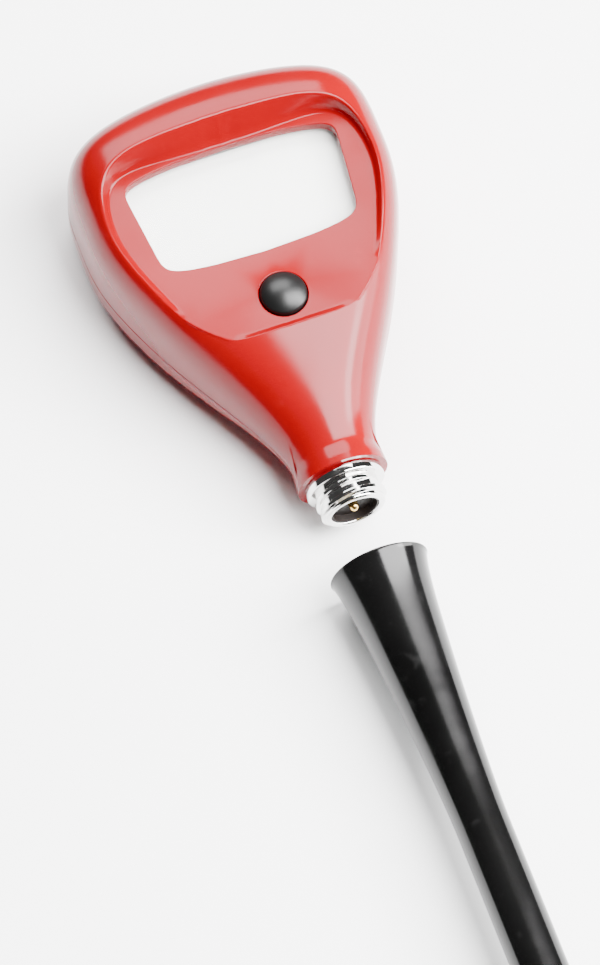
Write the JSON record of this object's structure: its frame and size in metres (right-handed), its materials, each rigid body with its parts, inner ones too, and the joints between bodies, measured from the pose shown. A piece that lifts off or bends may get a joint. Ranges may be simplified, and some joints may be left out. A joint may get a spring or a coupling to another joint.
{
  "type": "digital ph meter",
  "caption": "Pocket pH meter with a display panel, a power button and a threaded neck, beside the flared electrode that screws onto it.",
  "frame": {"origin": "middle of the footprint, on the surface that the meter and its electrode lie on", "axes": "+Z out of the display, +Y along the connector axis from the electrode to the top of the head, +X to the right of someone reading the display"},
  "size_m": [0.05, 0.2648, 0.0247],
  "materials": {
    "red_case": "glossy moulded",
    "clear_window": "clear sheet",
    "lcd_glass": "frosted display glass",
    "reflector": "satin film",
    "inner_plastic": "moulded",
    "silicone_strip": "soft",
    "board": "solder mask",
    "black_part": "moulded",
    "ceramic_part": "fired",
    "blue_part": "moulded",
    "bright_steel": "bright",
    "gilt": "gold plated",
    "chrome_plate": "polished",
    "black_rubber": "soft",
    "dark_insulator": "moulded",
    "red_lead": "sheathed",
    "black_lead": "sheathed",
    "black_button": "satin gloss",
    "cream_part": "moulded",
    "black_gloss": "polished",
    "probe_body": "smooth",
    "probe_glass": "clear",
    "silver_wire": "drawn",
    "cloth": "woven",
    "cap_plastic": "frosted",
    "sponge": "open cell"
  },
  "bodies": {
    "meter": {"front_case": "red_case", "back_case": "red_case", "display_window": "clear_window", "lcd_panel": "lcd_glass", "lcd_reflector": "reflector", "lcd_frame": "inner_plastic", "contact_strips": "silicone_strip", "circuit_board": "board", "board_chips": "black_part", "board_passives": "ceramic_part", "trimmer_bodies": "blue_part", "switch_housing": "black_part", "battery_cells": "bright_steel", "battery_holder": "inner_plastic", "battery_springs": "gilt", "battery_link": "bright_steel", "case_screws": "bright_steel", "connector_barrel": "chrome_plate", "connector_nut": "chrome_plate", "connector_o_ring": "black_rubber", "connector_insulator": "dark_insulator", "connector_pin": "gilt", "ground_lug": "gilt", "signal_lead": "red_lead", "ground_lead": "black_lead"},
    "power_button": {"power_button": "black_button", "switch_plunger": "black_part"},
    "battery_door": {"battery_door": "red_case"},
    "offset_trimmer": {"offset_trimmer": "cream_part"},
    "slope_trimmer": {"slope_trimmer": "cream_part"},
    "electrode_seal": {"electrode_gasket": "black_rubber"},
    "electrode": {"electrode_handle": "black_gloss", "coupling_insert": "chrome_plate", "socket_insulator": "cream_part", "contact_socket": "gilt", "electrode_lead": "black_lead", "seal_plug": "black_part", "probe_tube": "probe_body", "glass_stem": "probe_glass", "glass_bulb": "probe_glass", "sensing_wire": "silver_wire", "reference_wire": "silver_wire", "cloth_junction": "cloth"},
    "storage_cap": {"storage_cap": "cap_plastic", "cap_sponge": "sponge"}
  },
  "joints": [
    {"name": "button_press", "type": "slide", "parent": "meter", "child": "power_button", "axis": [0, 0, -1], "range_m": [0, 0.0008], "stiffness_N_per_m": 800, "springref_m": -0.0004},
    {"name": "battery_door_slide", "type": "slide", "parent": "meter", "child": "battery_door", "axis": [0, 1, 0], "range_m": [0, 0.026]},
    {"name": "offset_adjust", "type": "hinge", "parent": "meter", "child": "offset_trimmer", "pos_m": [-0.006, 0.093, 0.0065], "axis": [0, 0, -1], "range_deg": [-135, 135]},
    {"name": "slope_adjust", "type": "hinge", "parent": "meter", "child": "slope_trimmer", "pos_m": [0.006, 0.093, 0.0065], "axis": [0, 0, -1], "range_deg": [-135, 135]},
    {"name": "electrode_advance", "type": "slide", "parent": "meter", "child": "electrode_seal", "axis": [0, 1, 0], "range_m": [0, 0.0157]},
    {"name": "electrode_turn", "type": "hinge", "parent": "electrode_seal", "child": "electrode", "pos_m": [0, 0.0496, 0.008], "axis": [0, 1, 0], "range_deg": [0, 2826]},
    {"name": "cap_pull", "type": "slide", "parent": "electrode", "child": "storage_cap", "axis": [0, -1, 0], "range_m": [0, 0.03]}
  ],
  "couplings": [
    {"joint": "electrode_turn", "follows": "electrode_advance", "rad_per_m": 3141.6}
  ]
}
